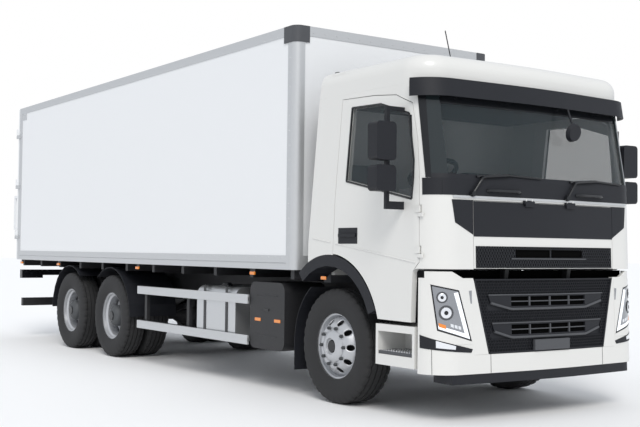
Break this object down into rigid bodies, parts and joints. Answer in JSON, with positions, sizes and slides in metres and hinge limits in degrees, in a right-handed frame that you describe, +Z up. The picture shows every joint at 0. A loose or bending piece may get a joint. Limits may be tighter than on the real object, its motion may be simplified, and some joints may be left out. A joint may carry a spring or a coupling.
{
  "type": "rigid box truck",
  "caption": "Rigid three-axle box truck with tilting cab, opening doors and front lid, steered front wheels, twin rear wheels and a closed load box.",
  "frame": {"origin": "on the ground under the middle of the overall length and width", "axes": "+Z up, -Y towards the front of the truck, +X towards the left side of the truck"},
  "size_m": [3.2, 10.061, 3.53],
  "materials": {
    "tyre": "matt",
    "wheel_steel": "satin silver",
    "chassis_paint": "satin black",
    "cast_metal": "rough",
    "tank_metal": "brushed",
    "guard_plastic": "grained",
    "cab_paint": "gloss",
    "box_paint": "gloss",
    "box_metal": "satin",
    "glass": "clear, tinted",
    "lamp_glass": "clear gloss",
    "tail_lamp": "gloss",
    "seat_fabric": "woven"
  },
  "bodies": {
    "chassis": {"chassis_frame": "chassis_paint", "front_axle": "chassis_paint", "rear_axles": "chassis_paint", "engine_block": "cast_metal", "propeller_shaft": "chassis_paint", "fuel_tank": "tank_metal", "service_box": "chassis_paint", "exhaust_box": "chassis_paint", "side_guards": "chassis_paint", "rear_underrun": "chassis_paint", "tail_lamps": "tail_lamp", "rear_mudguards": "guard_plastic", "front_mudguards": "guard_plastic", "box_floor": "box_metal", "box_side_walls": "box_paint", "box_front_wall": "box_paint", "box_roof": "box_paint", "box_rails": "box_metal", "rear_frame": "box_metal", "bumper": "cab_paint", "main_grille": "guard_plastic", "lower_lip": "guard_plastic", "headlamps": "lamp_glass", "step_boxes": "guard_plastic", "intake_duct": "guard_plastic"},
    "cab": {"cab_roof": "cab_paint", "cab_front_panel": "cab_paint", "cab_shell": "cab_paint", "windscreen": "glass", "cab_floor": "cab_paint", "arch_trims": "guard_plastic", "seats": "seat_fabric", "dashboard": "guard_plastic", "steering_wheel": "guard_plastic", "sun_visor": "guard_plastic"},
    "front_lid": {"front_lid": "cab_paint"},
    "steering_right": {"knuckle_right": "chassis_paint"},
    "steering_left": {"knuckle_left": "chassis_paint"},
    "front_wheel_right": {"tyre_front_right": "tyre", "rim_front_right": "wheel_steel"},
    "front_wheel_left": {"tyre_front_left": "tyre", "rim_front_left": "wheel_steel"},
    "drive_wheels_right": {"tyres_drive_right": "tyre", "rims_drive_right": "wheel_steel"},
    "drive_wheels_left": {"tyres_drive_left": "tyre", "rims_drive_left": "wheel_steel"},
    "tag_wheels_right": {"tyres_tag_right": "tyre", "rims_tag_right": "wheel_steel"},
    "tag_wheels_left": {"tyres_tag_left": "tyre", "rims_tag_left": "wheel_steel"},
    "cab_door_right": {"cab_door_right": "cab_paint", "door_glass_right": "glass", "mirror_right": "guard_plastic"},
    "cab_door_left": {"cab_door_left": "cab_paint", "door_glass_left": "glass", "mirror_left": "guard_plastic"},
    "rear_door_right": {"rear_door_right": "box_paint"},
    "rear_door_left": {"rear_door_left": "box_paint"}
  },
  "joints": [
    {"name": "steer_right", "type": "hinge", "parent": "chassis", "child": "steering_right", "pos_m": [-0.885, -3.4895, 0.518], "axis": [0, 0, 1], "range_deg": [-38, 38]},
    {"name": "front_wheel_right", "type": "hinge", "parent": "steering_right", "child": "front_wheel_right", "pos_m": [-1.03, -3.4895, 0.518], "axis": [1, 0, 0], "continuous": true},
    {"name": "drive_wheels_right", "type": "hinge", "parent": "chassis", "child": "drive_wheels_right", "pos_m": [-0.9325, 1.3355, 0.518], "axis": [1, 0, 0], "continuous": true},
    {"name": "tag_wheels_right", "type": "hinge", "parent": "chassis", "child": "tag_wheels_right", "pos_m": [-0.9325, 2.7055, 0.518], "axis": [1, 0, 0], "continuous": true},
    {"name": "steer_left", "type": "hinge", "parent": "chassis", "child": "steering_left", "pos_m": [0.885, -3.4895, 0.518], "axis": [0, 0, 1], "range_deg": [-38, 38]},
    {"name": "front_wheel_left", "type": "hinge", "parent": "steering_left", "child": "front_wheel_left", "pos_m": [1.03, -3.4895, 0.518], "axis": [1, 0, 0], "continuous": true},
    {"name": "drive_wheels_left", "type": "hinge", "parent": "chassis", "child": "drive_wheels_left", "pos_m": [0.9325, 1.3355, 0.518], "axis": [1, 0, 0], "continuous": true},
    {"name": "tag_wheels_left", "type": "hinge", "parent": "chassis", "child": "tag_wheels_left", "pos_m": [0.9325, 2.7055, 0.518], "axis": [1, 0, 0], "continuous": true},
    {"name": "cab_tilt", "type": "hinge", "parent": "chassis", "child": "cab", "pos_m": [0, -4.8895, 1.3], "axis": [1, 0, 0], "range_deg": [0, 60]},
    {"name": "front_lid", "type": "hinge", "parent": "cab", "child": "front_lid", "pos_m": [0, -4.983, 1.7975], "axis": [-1, 0, 0], "range_deg": [0, 95]},
    {"name": "cab_door_right", "type": "hinge", "parent": "cab", "child": "cab_door_right", "pos_m": [-1.243, -4.7405, 1.6], "axis": [0, 0, 1], "range_deg": [0, 70]},
    {"name": "rear_door_right", "type": "hinge", "parent": "chassis", "child": "rear_door_right", "pos_m": [-1.262, 4.8985, 2.36], "axis": [0, 0, 1], "range_deg": [0, 170]},
    {"name": "cab_door_left", "type": "hinge", "parent": "cab", "child": "cab_door_left", "pos_m": [1.243, -4.7405, 1.6], "axis": [0, 0, -1], "range_deg": [0, 70]},
    {"name": "rear_door_left", "type": "hinge", "parent": "chassis", "child": "rear_door_left", "pos_m": [1.262, 4.8985, 2.36], "axis": [0, 0, -1], "range_deg": [0, 170]}
  ],
  "couplings": [
    {"joint": "steer_left", "follows": "steer_right", "ratio": 1}
  ]
}
